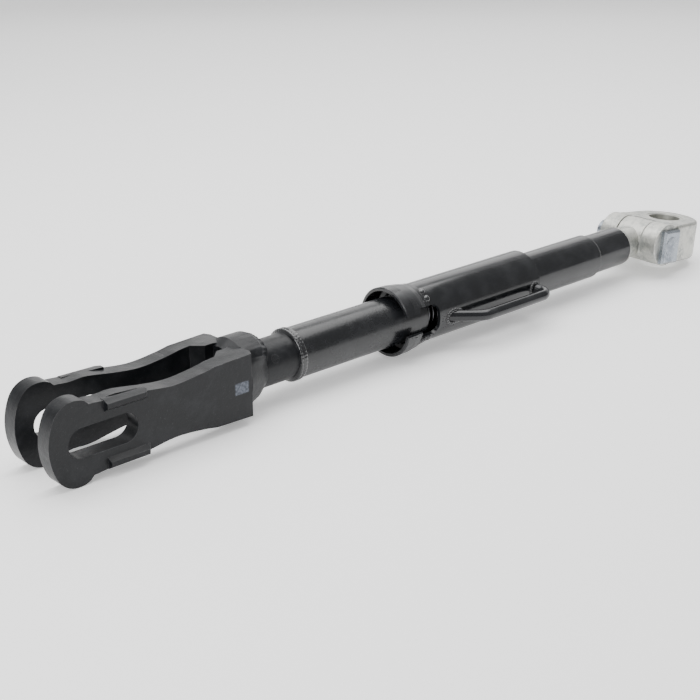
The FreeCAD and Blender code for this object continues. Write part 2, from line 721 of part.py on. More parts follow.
def hang(shape):
    """Set a piece drawn about the hinge pin in its place at the end of the link, drooping."""
    placed = shape.copy()
    placed.rotate(V(0, 0, 0), ACROSS, yoke_droop)
    placed.translate(V(hinge_x, 0, 0))
    return placed


# ---------------------------------------------------------------- the pieces, by node
def link_pieces():
    """Every piece of the link under its node's name, in link coordinates."""
    guard_bore = guard_tube_radius - guard_tube_wall
    window = deep_window()
    collar = turned(collar_profile()).cut(window)
    sleeve = disc_ring(sleeve_start_x, sleeve_end_x, sleeve_radius, sleeve_bore).cut(window)
    thread_bore = spindle_radius + RUNNING_CLEARANCE
    neck_bush_radius = knuckle_shaft_radius + RUNNING_CLEARANCE + neck_bush_wall
    bush_start_x = guard_end_x - tube_bush_seat
    bush = disc_ring(bush_start_x, guard_end_x, guard_bore, spindle_radius)
    bush = bush.fuse(disc_ring(guard_end_x, guard_end_x + tube_bush_nose, tube_bush_radius, spindle_radius))
    washer_end_x = spindle_end_x + stop_washer_thickness
    thrust_radius = knuckle_shaft_radius + thrust_washer_wall
    return {
        "fork": make_fork(),
        "fork_cross_pin": fork_pin_solid(),
        "fork_tube_weld": make_tube_weld(),
        "guard_tube": disc_ring(shank_end_x, guard_end_x, guard_tube_radius, guard_bore),
        "guard_tube_bush": bush.removeSplitter(),
        "spindle": make_spindle(),
        "spindle_stop_washer": disc_ring(spindle_end_x, washer_end_x, body_tube_bore - stop_washer_clearance,
                                         screw_radius),
        "spindle_stop_screw": make_stop_screw(),
        "bell_collar": collar,
        "sleeve_tube": sleeve,
        "collar_weld_spots": make_collar_welds(collar, sleeve),
        "sleeve_end_ring": disc_ring(sleeve_end_x - end_ring_length, sleeve_end_x, sleeve_bore, body_tube_radius),
        "sleeve_inner_ring": disc_ring(body_start_x, body_start_x + inner_ring_length, sleeve_bore,
                                       body_tube_radius),
        "body_tube": make_body_tube(),
        "spindle_nut": make_spindle_nut(),
        "nut_lock_screw": nut_lock_solid(),
        "neck_bush": disc_ring(neck_wall_x, neck_end_x, neck_bush_radius,
                               knuckle_shaft_radius + RUNNING_CLEARANCE),
        "handle": make_handle(),
        "handle_weld_front": make_handle_weld(False),
        "handle_weld_rear": make_handle_weld(True),
        "knuckle": make_knuckle(),
        "tongue_bush": make_tongue_bush(),
        "thrust_washer": disc_ring(nut_seat_x(), nut_seat_x() + thrust_washer_thickness, thrust_radius,
                                   knuckle_shaft_radius),
        "castle_nut": make_castle_nut(),
        "nut_cotter": nut_cotter_solid(),
        "yoke": hang(make_yoke()),
        "eye_bush": hang(make_eye_bush()),
        "hinge_pin": hang(make_hinge_pin()),
        "pin_washer": hang(make_pin_washer()),
        "pin_split_cotter": hang(pin_cotter_solid()),
    }


def export_all():
    """Write one STEP file per piece, with the origin moved to the centre of the yoke's eye."""
    os.makedirs("parts", exist_ok=True)
    droop = math.radians(yoke_droop)
    eye = V(hinge_x + yoke_eye_x * math.cos(droop), 0, -yoke_eye_x * math.sin(droop))
    for name, shape in link_pieces().items():
        placed = shape.copy()
        placed.translate(eye * -1)
        placed.exportStep("parts/" + name + ".step")
        solids = len(placed.Solids)
        print(name, "solids", solids, "valid", placed.isValid(), "volume", round(placed.Volume, 1))
    print("eye of the yoke in link coordinates", round(eye.x, 3), round(eye.z, 3), "hinge", hinge_x)


export_all()
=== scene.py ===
import json
import logging
import math
import random
from dataclasses import dataclass, field
from enum import Enum

import bmesh
import bpy
from mathutils import Matrix, Vector


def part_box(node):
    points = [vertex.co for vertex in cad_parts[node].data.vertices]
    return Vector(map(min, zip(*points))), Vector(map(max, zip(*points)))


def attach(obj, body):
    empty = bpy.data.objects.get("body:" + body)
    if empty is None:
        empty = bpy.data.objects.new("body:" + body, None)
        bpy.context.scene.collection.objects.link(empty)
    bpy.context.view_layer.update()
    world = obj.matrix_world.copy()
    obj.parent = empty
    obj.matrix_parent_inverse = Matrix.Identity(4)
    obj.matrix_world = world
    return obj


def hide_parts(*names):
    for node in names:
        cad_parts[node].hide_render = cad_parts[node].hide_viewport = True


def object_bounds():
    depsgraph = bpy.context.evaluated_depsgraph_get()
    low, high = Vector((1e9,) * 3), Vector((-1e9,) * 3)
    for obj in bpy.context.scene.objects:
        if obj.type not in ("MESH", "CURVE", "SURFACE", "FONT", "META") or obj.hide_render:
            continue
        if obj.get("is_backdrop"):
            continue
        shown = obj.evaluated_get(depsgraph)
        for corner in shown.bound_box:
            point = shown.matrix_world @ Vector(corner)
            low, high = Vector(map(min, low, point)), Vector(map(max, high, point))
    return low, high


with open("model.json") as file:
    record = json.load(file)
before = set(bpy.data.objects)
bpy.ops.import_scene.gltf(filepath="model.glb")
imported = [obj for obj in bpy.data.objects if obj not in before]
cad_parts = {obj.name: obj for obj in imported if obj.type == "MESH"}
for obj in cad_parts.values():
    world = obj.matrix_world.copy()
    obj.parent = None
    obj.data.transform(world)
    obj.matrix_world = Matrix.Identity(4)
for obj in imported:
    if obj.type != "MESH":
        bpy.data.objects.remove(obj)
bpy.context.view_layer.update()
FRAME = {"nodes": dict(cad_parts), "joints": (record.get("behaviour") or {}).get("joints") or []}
LOG = logging.getLogger("lift_link")
MM = 0.001
X_AXIS = Vector((1.0, 0.0, 0.0))
NEW_MERGE = 0.000002
CAD_MERGE = 0.000004
NodeTree = bpy.types.NodeTree
Socket = bpy.types.NodeSocket
Colour = tuple[float, float, float]


class Wear(Enum):
    """How hard a painted surface has been used."""

    FRESH = 0.35
    HANDLED = 0.6
    RUBBED = 1.0


def smooth_step(share: float) -> float:
    """Share from 0 to 1, eased at both ends."""
    return share * share * (3 - 2 * share)


# ------------------------------------------------------------------ material building blocks
class Recipe:
    """Builds a node material step by step on Object coordinates."""

    def __init__(self, name: str) -> None:
        """Start an empty material with a principled shader.

        Args:
            name: Name of the material.
        """
        self.material = bpy.data.materials.new(name)
        self.material.use_nodes = True
        self.tree: NodeTree = self.material.node_tree
        self.tree.nodes.clear()
        self.output = self.tree.nodes.new("ShaderNodeOutputMaterial")
        self.shader = self.tree.nodes.new("ShaderNodeBsdfPrincipled")
        self.tree.links.new(self.shader.outputs["BSDF"], self.output.inputs["Surface"])
        self.place = self.tree.nodes.new("ShaderNodeTexCoord").outputs["Object"]

    def link(self, source: Socket, target: Socket) -> None:
        """Join two sockets."""
        self.tree.links.new(source, target)

    def stretched(self, scale: tuple[float, float, float]) -> Socket:
        """Object coordinates scaled along each axis.

        Args:
            scale: Factor along X, Y and Z.

        Returns:
            The mapped coordinates.
        """
        node = self.tree.nodes.new("ShaderNodeMapping")
        node.inputs["Scale"].default_value = scale
        self.link(self.place, node.inputs["Vector"])
        return node.outputs["Vector"]

    def noise(self, scale: float, detail: float = 4.0, rough: float = 0.55,
              place: Socket | None = None) -> Socket:
        """Fractal noise.

        Args:
            scale: Cells per metre.
            detail: Octaves.
            rough: Weight of the finer octaves.
            place: Coordinates, or None for plain Object coordinates.

        Returns:
            The noise factor.
        """
        node = self.tree.nodes.new("ShaderNodeTexNoise")
        node.inputs["Scale"].default_value = scale
        node.inputs["Detail"].default_value = detail
        node.inputs["Roughness"].default_value = rough
        self.link(place or self.place, node.inputs["Vector"])
        return node.outputs["Fac"]

    def cells(self, scale: float) -> Socket:
        """Smooth cell distance, for a hammered or cast skin.

        Args:
            scale: Cells per metre.

        Returns:
            The distance to the nearest cell centre.
        """
        node = self.tree.nodes.new("ShaderNodeTexVoronoi")
        node.feature = "SMOOTH_F1"
        node.inputs["Scale"].default_value = scale
        self.link(self.place, node.inputs["Vector"])
        return node.outputs["Distance"]

    def band(self, source: Socket, low: float, high: float,
             low_value: float = 0.0, high_value: float = 1.0) -> Socket:
        """Map a range of a value onto another, clamped and smooth.

        Args:
            source: Incoming value.
            low: Value that gives low_value.
            high: Value that gives high_value.
            low_value: Result at low.
            high_value: Result at high.

        Returns:
            The mapped value.
        """
        node = self.tree.nodes.new("ShaderNodeMapRange")
        node.interpolation_type = "SMOOTHSTEP"
        node.inputs["From Min"].default_value = low
        node.inputs["From Max"].default_value = high
        node.inputs["To Min"].default_value = low_value
        node.inputs["To Max"].default_value = high_value
        self.link(source, node.inputs["Value"])
        return node.outputs["Result"]

    def combine(self, operation: str, first: Socket, second: Socket | float) -> Socket:
        """Arithmetic on two values.

        Args:
            operation: Name of the Math node's operation.
            first: Left side.
            second: Right side, a socket or a number.

        Returns:
            The result.
        """
        node = self.tree.nodes.new("ShaderNodeMath")
        node.operation = operation
        self.link(first, node.inputs[0])
        if isinstance(second, float):
            node.inputs[1].default_value = second
        else:
            self.link(second, node.inputs[1])
        return node.outputs["Value"]

    def blend(self, factor: Socket, first: Colour | Socket, second: Colour | Socket) -> Socket:
        """Mix two colours by a factor.

        Args:
            factor: 0 gives first, 1 gives second.
            first: Colour or socket.
            second: Colour or socket.

        Returns:
            The mixed colour.
        """
        node = self.tree.nodes.new("ShaderNodeMix")
        node.data_type = "RGBA"
        self.link(factor, node.inputs["Factor"])
        for value, socket in ((first, node.inputs[6]), (second, node.inputs[7])):
            if isinstance(value, tuple):
                socket.default_value = (*value, 1.0)
            else:
                self.link(value, socket)
        return node.outputs[2]

    def edge_mask(self, width: float, flat: float = 0.995, sharp: float = 0.90) -> Socket:
        """1 on edges and 0 on flats, from the surface's own shape.

        Args:
            width: Reach of the edge in metres.
            flat: Cosine between the true and the rounded normal that still counts as flat.
            sharp: Cosine that counts as a full edge.

        Returns:
            The mask.
        """
        bevel = self.tree.nodes.new("ShaderNodeBevel")
        bevel.samples = 4
        bevel.inputs["Radius"].default_value = width
        geometry = self.tree.nodes.new("ShaderNodeNewGeometry")
        dot = self.tree.nodes.new("ShaderNodeVectorMath")
        dot.operation = "DOT_PRODUCT"
        self.link(bevel.outputs["Normal"], dot.inputs[0])
        self.link(geometry.outputs["Normal"], dot.inputs[1])
        return self.band(dot.outputs["Value"], flat, sharp)

    def box_mask(self, centre: Vector, half: Vector, full: float = 0.82, gone: float = 1.12) -> Socket:
        """1 inside a soft-edged box and 0 outside it.

        Args:
            centre: Middle of the box.
            half: Half of its size along each axis.
            full: Share of the half size up to which the mask is 1.
            gone: Share of the half size from which it is 0.

        Returns:
            The mask.
        """
        split = self.tree.nodes.new("ShaderNodeSeparateXYZ")
        self.link(self.place, split.inputs["Vector"])
        mask = None
        for index in range(3):
            away = self.combine("SUBTRACT", split.outputs[index], float(centre[index]))
            away = self.combine("ABSOLUTE", away, 0.0)
            inside = self.band(away, half[index] * full, half[index] * gone, 1.0, 0.0)
            mask = inside if mask is None else self.combine("MULTIPLY", mask, inside)
        return mask

    def bump(self, height: Socket, distance: float, strength: float = 1.0,
             after: Socket | None = None) -> Socket:
        """Bump a height into the normal.

        Args:
            height: Height field.
            distance: Height of 1 in metres.
            strength: Share of the effect.
            after: Normal to start from.

        Returns:
            The new normal.
        """
        node = self.tree.nodes.new("ShaderNodeBump")
        node.inputs["Distance"].default_value = distance
        node.inputs["Strength"].default_value = strength
        self.link(height, node.inputs["Height"])
        if after is not None:
            self.link(after, node.inputs["Normal"])
        return node.outputs["Normal"]

    def finish(self, colour: Socket, roughness: Socket, normal: Socket) -> bpy.types.Material:
        """Wire the three main channels and return the material.

        Args:
            colour: Base colour.
            roughness: Roughness.
            normal: Shading normal.

        Returns:
            The finished material.
        """
        self.link(colour, self.shader.inputs["Base Color"])
        self.link(roughness, self.shader.inputs["Roughness"])
        self.link(normal, self.shader.inputs["Normal"])
        return self.material


@dataclass(frozen=True)
class BlackPaint:
    """Black machinery paint over forged, drawn or welded steel.

    Fields: name, the paint's colour and the tones where it thins, where dust lies, where an edge is worn and
    where a patch is rubbed, the gloss as a roughness range, cells per metre and depth in metres of the orange
    peel and of the skin below, cells per metre of the thin places, dust and smears, how worn it is, the share
    of that wear which shows as dust and on edges, and the centre and half size of the patch, if it has one.
    """

    name: str
    colour: Colour = (0.0065, 0.0072, 0.0085)
    thin_colour: Colour = (0.0165, 0.0175, 0.0195)
    dust_colour: Colour = (0.075, 0.076, 0.078)
    edge_colour: Colour = (0.10, 0.10, 0.105)
    patch_colour: Colour = (0.125, 0.140, 0.175)
    roughness_low: float = 0.24
    roughness_high: float = 0.36
    peel_scale: float = 520.0
    peel_depth: float = 0.00010
    skin_scale: float = 160.0
    skin_depth: float = 0.0
    cloud_scale: float = 38.0
    dust_scale: float = 900.0
    smear_scale: float = 420.0
    edge_reach: float = 0.0009
    dust_share: float = 0.35
    edge_share: float = 0.7
    coat: float = 0.15
    coat_roughness: float = 0.12
    specular: float = 0.42
    wear: Wear = Wear.FRESH
    patch: tuple[Vector, Vector] | None = None

    def build(self) -> bpy.types.Material:
        """Make the material."""
        recipe = Recipe(self.name)
        cloud = recipe.noise(self.cloud_scale, 5.0, 0.6)
        fine = recipe.noise(self.dust_scale, 3.0, 0.6)
        patches = recipe.band(cloud, 0.42, 0.72)
        colour = recipe.blend(patches, self.colour, self.thin_colour)
        dust = recipe.combine("MULTIPLY", recipe.band(fine, 0.60, 0.78), self.wear.value * self.dust_share)
        colour = recipe.blend(dust, colour, self.dust_colour)
        edge = recipe.combine("MULTIPLY", recipe.edge_mask(self.edge_reach), recipe.band(cloud, 0.38, 0.62))
        edge = recipe.combine("MULTIPLY", edge, self.wear.value * self.edge_share)
        colour = recipe.blend(edge, colour, self.edge_colour)
        if self.patch is not None:
            smear = recipe.band(recipe.noise(self.smear_scale, 4.0, 0.6), 0.34, 0.62, 0.35, 1.0)
            rubbed = recipe.combine("MULTIPLY", recipe.box_mask(*self.patch), smear)
            colour = recipe.blend(rubbed, colour, self.patch_colour)
        roughness = recipe.band(cloud, 0.35, 0.68, self.roughness_low, self.roughness_high)
        peel = recipe.noise(self.peel_scale, 2.0, 0.5)
        normal = recipe.bump(peel, self.peel_depth)
        if self.skin_depth > 0:
            cells = recipe.cells(self.skin_scale)
            skin = recipe.combine("ADD", cells, recipe.noise(self.skin_scale * 1.7, 5.0, 0.65))
            normal = recipe.bump(skin, self.skin_depth, 1.0, normal)
        recipe.shader.inputs["Specular IOR Level"].default_value = self.specular
        recipe.shader.inputs["Coat Weight"].default_value = self.coat
        recipe.shader.inputs["Coat Roughness"].default_value = self.coat_roughness
        return recipe.finish(colour, roughness, normal)


@dataclass(frozen=True)
class ZincPlate:
    """Zinc plating over a casting or over machined steel.

    Fields: name, the bright and dull tones and that of rubbed edges, the roughness range, cells per metre of
    the clouds, of the spangle and of the skin, the skin's depth and the edges' reach in metres, how strongly
    edges show, and how metallic the surface looks, because a blasted casting scatters the light.
    """

    name: str
    bright: Colour = (0.56, 0.56, 0.52)
    dull: Colour = (0.31, 0.32, 0.31)
    edge_colour: Colour = (0.85, 0.85, 0.83)
    roughness_low: float = 0.34
    roughness_high: float = 0.52
    cloud_scale: float = 55.0
    spangle_scale: float = 260.0
    grain_scale: float = 420.0
    grain_depth: float = 0.00018
    edge_reach: float = 0.0008
    edge_share: float = 0.5
    metallic: float = 0.85

    def build(self) -> bpy.types.Material:
        """Make the material."""
        recipe = Recipe(self.name)
        cloud = recipe.noise(self.cloud_scale, 5.0, 0.6)
        spangle = recipe.noise(self.spangle_scale, 4.0, 0.7)
        cloudy, spangled = recipe.band(cloud, 0.36, 0.66), recipe.band(spangle, 0.30, 0.62)
        mottle = recipe.combine("MULTIPLY", cloudy, spangled)
        colour = recipe.blend(mottle, self.bright, self.dull)
        edge = recipe.combine("MULTIPLY", recipe.edge_mask(self.edge_reach), self.edge_share)
        colour = recipe.blend(edge, colour, self.edge_colour)
        roughness = recipe.band(spangle, 0.35, 0.65, self.roughness_low, self.roughness_high)
        fine = recipe.noise(self.grain_scale, 3.0, 0.6)
        grain = recipe.combine("ADD", fine, recipe.cells(self.grain_scale * 0.6))
        normal = recipe.bump(grain, self.grain_depth)
        recipe.shader.inputs["Metallic"].default_value = self.metallic
        return recipe.finish(colour, roughness, normal)


@dataclass(frozen=True)
class TurnedMetal:
    """Bare turned steel or bronze with fine tool marks round the link's axis.

    Fields: name, the main and the dark tone, the mean roughness, cells per metre and depth in metres of the
    tool marks, and the distance and depth in metres of rings that stand for a thread, if there are any. Where
    there is a thread, its grooves also take the dark tone as painted shade.
    """

    name: str
    tone: Colour = (0.42, 0.42, 0.43)
    dark: Colour = (0.20, 0.19, 0.18)
    roughness: float = 0.33
    mark_scale: float = 2600.0
    mark_depth: float = 0.00003
    thread_pitch: float = 0.0
    thread_depth: float = 0.0012

    def build(self) -> bpy.types.Material:
        """Make the material."""
        recipe = Recipe(self.name)
        cloud = recipe.noise(70.0, 4.0, 0.6)
        marks = recipe.noise(self.mark_scale, 1.0, 0.5, recipe.stretched((1.0, 0.02, 0.02)))
        colour = recipe.blend(recipe.band(cloud, 0.45, 0.70), self.tone, self.dark)
        roughness = recipe.band(marks, 0.3, 0.7, self.roughness * 0.8, self.roughness * 1.3)
        normal = recipe.bump(marks, self.mark_depth)
        if self.thread_pitch > 0:
            split = recipe.tree.nodes.new("ShaderNodeSeparateXYZ")
            recipe.link(recipe.place, split.inputs["Vector"])
            turns = recipe.combine("MULTIPLY", split.outputs["X"], math.tau / self.thread_pitch)
            ridge = recipe.band(recipe.combine("SINE", turns, 0.0), -0.8, 0.8)
            # Painted shade: the thread's grooves take the dark tone, as if shade fell into them.
            colour = recipe.blend(ridge, self.dark, colour)
            normal = recipe.bump(ridge, self.thread_depth, 1.0, normal)
        recipe.shader.inputs["Metallic"].default_value = 1.0
        return recipe.finish(colour, roughness, normal)


@dataclass(frozen=True)
class StudioWhite:
    """Plain white of the floor and the backdrop."""

    name: str = "studio_white"
    tone: Colour = (0.95, 0.95, 0.95)
    glow: float = 0.35

    def build(self) -> bpy.types.Material:
        """Make the material."""
        recipe = Recipe(self.name)
        recipe.shader.inputs["Emission Color"].default_value = (1.0, 1.0, 1.0, 1.0)
        recipe.shader.inputs["Emission Strength"].default_value = self.glow
        cloud = recipe.noise(2.0, 2.0, 0.5)
        colour = recipe.blend(cloud, self.tone, tuple(0.99 * channel for channel in self.tone))
        roughness = recipe.band(cloud, 0.0, 1.0, 0.55, 0.6)
        return recipe.finish(colour, roughness, recipe.bump(cloud, 0.00001))


# ------------------------------------------------------------------ mesh helpers
def new_piece(name: str, mesh: bmesh.types.BMesh, material: bpy.types.Material, body: str,
              smooth_angle: float = 40.0) -> bpy.types.Object:
    """Turn a finished bmesh into a piece that rides on a body.

    Args:
        name: Name of the piece.
        mesh: Its shape, which is freed here.
        material: Its finish.
        body: Body that it rides on.
        smooth_angle: Edges sharper than this stay crisp, in degrees.

    Returns:
        The new object.
    """
    bmesh.ops.remove_doubles(mesh, verts=mesh.verts, dist=NEW_MERGE)
    bmesh.ops.recalc_face_normals(mesh, faces=mesh.faces)
    for face in mesh.faces:
        face.smooth = True
    limit = math.radians(smooth_angle)
    for edge in mesh.edges:
        if len(edge.link_faces) == 2 and edge.calc_face_angle(0.0) > limit:
            edge.smooth = False
    data = bpy.data.meshes.new(name)
    mesh.to_mesh(data)
    mesh.free()
    data.materials.append(material)
    piece = bpy.data.objects.new(name, data)
    bpy.context.scene.collection.objects.link(piece)
    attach(piece, body)
    LOG.info("piece %s on %s, %d faces", name, body, len(data.polygons))
    return piece


def dress(node: str, material: bpy.types.Material) -> None:
    """Give a CAD node a material.

    Args:
        node: Name of the node.
        material: Its new finish.
    """
    owner = FRAME["nodes"][node]
    owner.data.materials.clear()
    owner.data.materials.append(material)
    LOG.info("dressed %s with %s", node, material.name)


def merged_copy(node: str, flat_angle: float = 1.0) -> bmesh.types.BMesh:
    """Copy of a CAD node's mesh with its loose triangles joined and its flats dissolved.

    Args:
        node: Name of the node.
        flat_angle: Faces that meet under this angle, in degrees, become one.

    Returns:
        The joined mesh.
    """
    mesh = bmesh.new()
    mesh.from_mesh(FRAME["nodes"][node].data)
    bmesh.ops.remove_doubles(mesh, verts=mesh.verts, dist=CAD_MERGE)
    bmesh.ops.dissolve_limit(mesh, angle_limit=math.radians(flat_angle), verts=mesh.verts,
                             edges=mesh.edges)
    return mesh


def joint_place(name: str) -> list[float]:
    """Place of a joint in metres."""
    return next(joint for joint in FRAME["joints"] if joint["name"] == name)["pos_m"]


def box_of(node: str) -> tuple[Vector, Vector]:
    """Lowest and highest corner of a node at rest."""
    low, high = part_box(node)
    return Vector(low), Vector(high)


# ------------------------------------------------------------------ the link's axis
@dataclass
class LinkAxis:
    """Line that the fork, sleeve and knuckle share, and the place of the fork's saddle along it.

    The saddle lies nose_length behind the fork's front.
    """

    nose_length: float = 47.5 * MM
    height: float = field(init=False)
    across: float = field(init=False)
    saddle: float = field(init=False)

    def __post_init__(self) -> None:
        """Find the axis in the middle of the body tube, and the saddle from the fork's front."""
        low, high = box_of("body_tube")
        self.height = (low.z + high.z) / 2
        self.across = (low.y + high.y) / 2
        self.saddle = box_of("fork")[0].x + self.nose_length

    def point(self, x: float, angle: float, radius: float) -> Vector:
        """Point round the axis.

        Args:
            x: Place along the link.
            angle: Degrees above the side where the handle is.
            radius: Distance from the axis.

        Returns:
            The point.
        """
        turn = math.radians(angle)
        return Vector((x, self.across - radius * math.cos(turn), self.height + radius * math.sin(turn)))


@dataclass(frozen=True)
class StampPatch:
    """Rubbed patch on the near side of the fork's block, in millimetres from the saddle and the axis."""

    along: float = 148.8
    out: float = 35.2
    height: float = 0.4
    half_length: float = 7.6
    half_depth: float = 4.0
    half_height: float = 5.6

    def box(self, axis: LinkAxis) -> tuple[Vector, Vector]:
        """Centre and half size of the patch in the scene.

        Args:
            axis: The link's axis.

        Returns:
            The centre and the half size in metres.
        """
        centre = Vector((axis.saddle + self.along * MM, axis.across - self.out * MM,
                         axis.height + self.height * MM))
        return centre, Vector((self.half_length * MM, self.half_depth * MM, self.half_height * MM))


# ------------------------------------------------------------------ sub-assemblies
@dataclass
class WeldRing:
    """Ring of weld with ripples where the guard tube meets the fork's shank.

    Each pass is one bead. Its ripples lean, and grow from nothing at ripple_margin under the tube's skin to
    full over ripple_fade. Those of the rear pass are shifted by pass_shift, in radians.
    """

    axis: LinkAxis
    material: bpy.types.Material
    ripples: int = 46
    passes: int = 2
    sections: int = 12
    steps: int = 368
    ripple_depth: float = 0.42 * MM
    ripple_margin: float = 1.2 * MM
    ripple_fade: float = 1.5 * MM
    ripple_crest: float = 0.6
    ripple_lean: float = 0.10
    pass_shift: float = 0.6
    bead_fullness: float = 0.7
    foot_drop: float = 2.7 * MM
    wander: float = 0.5 * MM
    wander_share: float = 0.4
    wander_waves: int = 5

    def build(self) -> bpy.types.Object:
        """Spin the bead's section round the link and press the ripples into it."""
        low, high = box_of("fork_tube_weld")
        shank = box_of("guard_tube")
        tube_radius = (shank[1].z - shank[0].z) / 2
        crown = (high.z - low.z) / 2
        centre_x = (low.x + high.x) / 2
        half = (high.x - low.x) / 2
        mesh = bmesh.new()
        ring = []
        for index in range(self.sections + 1):
            share = index / self.sections
            x = centre_x - half + 2 * half * share
            lobe = abs(math.sin(math.pi * share * self.passes)) ** self.bead_fullness
            foot = tube_radius - self.foot_drop * (1 - min(1.0, share * 2))
            radius = foot + (crown - foot) * lobe
            ring.append(mesh.verts.new((x, self.axis.across, self.axis.height + radius)))
        edges = [mesh.edges.new(pair) for pair in zip(ring, ring[1:])]
        centre = Vector((0.0, self.axis.across, self.axis.height))
        bmesh.ops.spin(mesh, geom=ring + edges, cent=centre, axis=X_AXIS, dvec=(0, 0, 0),
                       angle=math.tau, steps=self.steps, use_merge=True)
        chance = random.Random(7)
        phase = chance.uniform(0, math.tau)
        for vert in mesh.verts:
            offset = Vector((0, vert.co.y - self.axis.across, vert.co.z - self.axis.height))
            turn = math.atan2(offset.z, offset.y)
            share = (vert.co.x - centre_x) / half
            lean = turn + self.ripple_lean * (1 - (abs(share) * 2 - 1) ** 2)
            shift = self.pass_shift if share > 0 else 0.0
            ripple = abs(math.sin(lean * self.ripples / 2 + phase + shift))
            swell = max(0.0, offset.length - tube_radius + self.ripple_margin)
            depth = self.ripple_depth * min(1.0, swell / self.ripple_fade)
            vert.co -= offset.normalized() * depth * (1 - ripple ** self.ripple_crest)
            sway = math.sin(turn * self.wander_waves + phase)
            vert.co.x += self.wander * self.wander_share * sway * (1 - abs(share))
        piece = new_piece("fork_weld_ring", mesh, self.material, "fork", 80.0)
        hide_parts("fork_tube_weld")
        return piece


@dataclass
class ForkEnd:
    """Forged fork: the dressed forging with rounded edges, and its weld.

    Sizes are in millimetres, apart from edge_round in metres and edge_angle in degrees. Places along the fork
    count from its saddle. A corner of the plain forging within slack of a line counts as on it. The hump
    starts where a corner's height is hump_from of its radius, and is full at hump_over more. The last corner
    of a line is met at the share line_end.
    """

    axis: LinkAxis
    forged: bpy.types.Material
    weld: bpy.types.Material
    flank: tuple[tuple[float, float], ...] = ((-9.1, 34.5), (4.0, 31.1), (20.0, 31.6), (50.0, 27.1),
                                              (77.0, 24.1), (106.0, 26.5), (132.0, 30.2))
    flank_first_slope: float = -0.70
    seam: float = 107.0
    seam_reach: float = 3.5
    ear_half_width: float = 35.3
    ledge_top: float = 31.9
    ledge_root: float = 20.8
    ledge_front: float = 6.5
    ledge_rear: float = 49.0
    ledge_front_height: float = 31.4
    ledge_rear_height: float = 29.4
    boss_end: float = 177.0
    boss_cone: float = 11.5
    boss_line: tuple[tuple[float, float], ...] = ((178.0, 29.8), (189.0, 22.5))
    hump_line: tuple[tuple[float, float], ...] = ((183.0, 34.9), (189.5, 32.0), (193.3, 27.5), (195.5, 22.5))
    hump_from: float = 0.30
    hump_over: float = 0.55
    shank_radius: float = 22.5
    slack: float = 0.1
    cone_slack: float = 0.01
    line_end: float = 0.9999
    flank_margin: float = 0.4
    root_margin: float = 0.2
    edge_round: float = 2.2 * MM
    edge_segments: int = 3
    edge_angle: float = 32.0

    def on_fork(self, place: Vector) -> tuple[float, float, float]:
        """Place in the scene as millimetres along the fork, across it and over its axis."""
        return ((place.x - self.axis.saddle) / MM, (place.y - self.axis.across) / MM,
                (place.z - self.axis.height) / MM)

    def in_scene(self, along: float, across: float, height: float) -> Vector:
        """Place on the fork in millimetres as a place in the scene."""
        return Vector((self.axis.saddle + along * MM, self.axis.across + across * MM,
                       self.axis.height + height * MM))

    def flank_height(self, along: float) -> float:
        """Height of the ear's smooth outline.

        Args:
            along: Place along the fork.

        Returns:
            Half the height of the ear there.
        """
        slopes = [self.flank_first_slope]
        for (x_0, z_0), (x_1, z_1), (x_2, z_2) in zip(self.flank, self.flank[1:], self.flank[2:]):
            before, after = (z_1 - z_0) / (x_1 - x_0), (z_2 - z_1) / (x_2 - x_1)
            slopes.append((before * (x_2 - x_1) + after * (x_1 - x_0)) / (x_2 - x_0))
        slopes.append(0.0)
        for index, ((x_0, z_0), (x_1, z_1)) in enumerate(zip(self.flank, self.flank[1:])):
            if along <= x_1 or index == len(self.flank) - 2:
                span = x_1 - x_0
                share = min(1.0, max(0.0, (along - x_0) / span))
                rise = smooth_step(share)
                lead = share * (1 - share) ** 2 * span * slopes[index]
                tail = share * share * (share - 1) * span * slopes[index + 1]
                return z_0 + (z_1 - z_0) * rise + lead + tail
        return self.flank[-1][1]

    def on_line(self, line: tuple[tuple[float, float], ...], share: float) -> tuple[float, float]:
        """Point at a share of a line of (along, radius) corners.

        Args:
            line: The corners.
            share: 0 at the first corner and 1 at the last.

        Returns:
            Place along the fork and radius.
        """
        place = min(share, self.line_end) * (len(line) - 1)
        index = int(place)
        rest = place - index
        (x_0, r_0), (x_1, r_1) = line[index:index + 2]
        return x_0 + (x_1 - x_0) * rest, r_0 + (r_1 - r_0) * rest

    def humped(self, share: float, across: float, height: float) -> tuple[float, float, float]:
        """Where a corner of the boss's cone lies, with the hump on top and the smaller boss round the rest.

        Args:
            share: 0 at the front of the cone and 1 at its rear.
            across: Distance from the fork's middle plane.
            height: Height over its axis.

        Returns:
            The new place.
        """
        radius = math.hypot(across, height)
        top = smooth_step(min(1.0, max(0.0, (height / radius - self.hump_from) / self.hump_over)))
        low_x, low_r = self.on_line(self.boss_line, share)
        high_x, high_r = self.on_line(self.hump_line, share)
        new_radius = low_r + (high_r - low_r) * top
        return low_x + (high_x - low_x) * top, across * new_radius / radius, height * new_radius / radius

    def eased(self, along: float, across: float, height: float) -> tuple[float, float, float]:
        """Where a corner of the plain forging lies on the finished one.

        Args:
            along: Place along the fork.
            across: Distance from its middle plane.
            height: Height over its axis.

        Returns:
            The new place.
        """
        side = 1.0 if height > 0 else -1.0
        level = abs(height)
        share = (along - self.boss_end) / self.boss_cone
        on_cone = -self.cone_slack < share < 1 + self.cone_slack
        if on_cone and math.hypot(across, height) > self.shank_radius - self.slack:
            return self.humped(share, across, height)
        on_flank = self.flank[0][0] + self.flank_margin < along < self.flank[-1][0] - self.flank_margin
        on_edge = level >= self.ledge_root + self.root_margin and abs(across) <= self.ear_half_width
        if not (on_flank and on_edge):
            return along, across, height
        if level > self.ledge_top:
            share = (along - self.ledge_front) / (self.ledge_rear - self.ledge_front)
            drop = (self.ledge_front_height - self.ledge_rear_height) * share
            return along, across, side * (self.ledge_front_height - drop)
        if abs(along - self.seam) < self.seam_reach:
            along = self.seam
        return along, across, side * self.flank_height(along)

